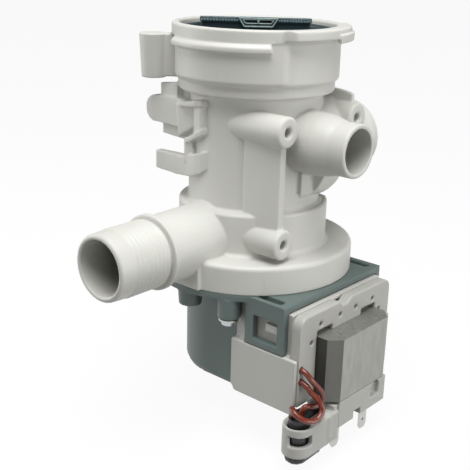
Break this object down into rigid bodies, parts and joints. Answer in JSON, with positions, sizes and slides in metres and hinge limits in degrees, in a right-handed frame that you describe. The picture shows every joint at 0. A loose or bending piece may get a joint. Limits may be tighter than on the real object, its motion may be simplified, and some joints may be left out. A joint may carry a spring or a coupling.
{
  "type": "washer drain pump",
  "caption": "Drain pump for a washing machine: upright filter chamber with ribbed outlet, side spigot and rear inlet, a lift-out filter, and a synchronous motor below.",
  "frame": {"origin": "centre of the filter mouth, in the plane of its rim", "axes": "+Z out of the filter mouth along the pump axis, +X along the motor to its yoke and to the faces of the screw bosses, and the ribbed outlet points along -Y"},
  "size_m": [0.127, 0.157, 0.1993],
  "materials": {
    "casing_moulding": "moulded polypropylene",
    "filter_moulding": "moulded polypropylene, dark petrol",
    "basket_moulding": "moulded polypropylene, dark petrol",
    "seal_rubber": "moulded rubber cord ring",
    "impeller_moulding": "moulded glass-filled plastic",
    "dog_moulding": "moulded acetal",
    "ground_steel": "ground stainless rod",
    "ferrite": "sintered ferrite with a plastic hub",
    "washer_steel": "punched steel",
    "bush_carbon": "pressed carbon",
    "holder_moulding": "moulded plastic",
    "carrier_moulding": "moulded plastic, grey teal",
    "zinc_screw": "zinc-plated steel",
    "lamination_steel": "stacked punched laminations",
    "bobbin_moulding": "moulded white plastic",
    "winding_wire": "enamelled copper wire",
    "housing_moulding": "moulded light grey plastic",
    "tinned_brass": "tinned brass sheet",
    "protector_sleeve": "black insulating sleeve",
    "clip_moulding": "moulded white plastic",
    "lead_sleeve": "red-brown flexible insulation"
  },
  "bodies": {
    "pump": {"pump_casing": "casing_moulding", "shaft_seal": "seal_rubber", "front_bush": "bush_carbon", "front_bush_holder": "holder_moulding", "rear_bush": "bush_carbon", "rear_bush_cushion": "seal_rubber", "motor_carrier": "carrier_moulding", "carrier_seal": "seal_rubber", "carrier_screws": "zinc_screw", "carrier_washers": "zinc_screw", "stator_core": "lamination_steel", "coil_bobbin": "bobbin_moulding", "front_winding": "winding_wire", "rear_winding": "winding_wire", "coil_housing": "housing_moulding", "front_terminal": "tinned_brass", "rear_terminal": "tinned_brass", "thermal_protector": "protector_sleeve", "protector_clip": "clip_moulding", "upper_lead": "lead_sleeve", "lower_lead": "lead_sleeve"},
    "filter_basket": {"filter_basket": "basket_moulding"},
    "filter_plug": {"filter_plug": "filter_moulding", "filter_seal": "seal_rubber"},
    "rotor": {"rotor_shaft": "ground_steel", "rotor_magnet": "ferrite", "drive_dog": "dog_moulding", "thrust_washer": "washer_steel"},
    "impeller": {"impeller": "impeller_moulding"}
  },
  "joints": [
    {"name": "filter_slide", "type": "slide", "parent": "pump", "child": "filter_basket", "axis": [0, 0, 1], "range_m": [0, 0.09]},
    {"name": "plug_turn", "type": "hinge", "parent": "filter_basket", "child": "filter_plug", "pos_m": [0, 0, -0.02], "axis": [0, 0, 1], "range_deg": [0, 90]},
    {"name": "rotor_spin", "type": "hinge", "parent": "pump", "child": "rotor", "pos_m": [0, 0, -0.14], "axis": [0, 0, 1], "continuous": true},
    {"name": "impeller_slip", "type": "hinge", "parent": "rotor", "child": "impeller", "pos_m": [0, 0, -0.11], "axis": [0, 0, 1], "range_deg": [-150, 0]}
  ]
}
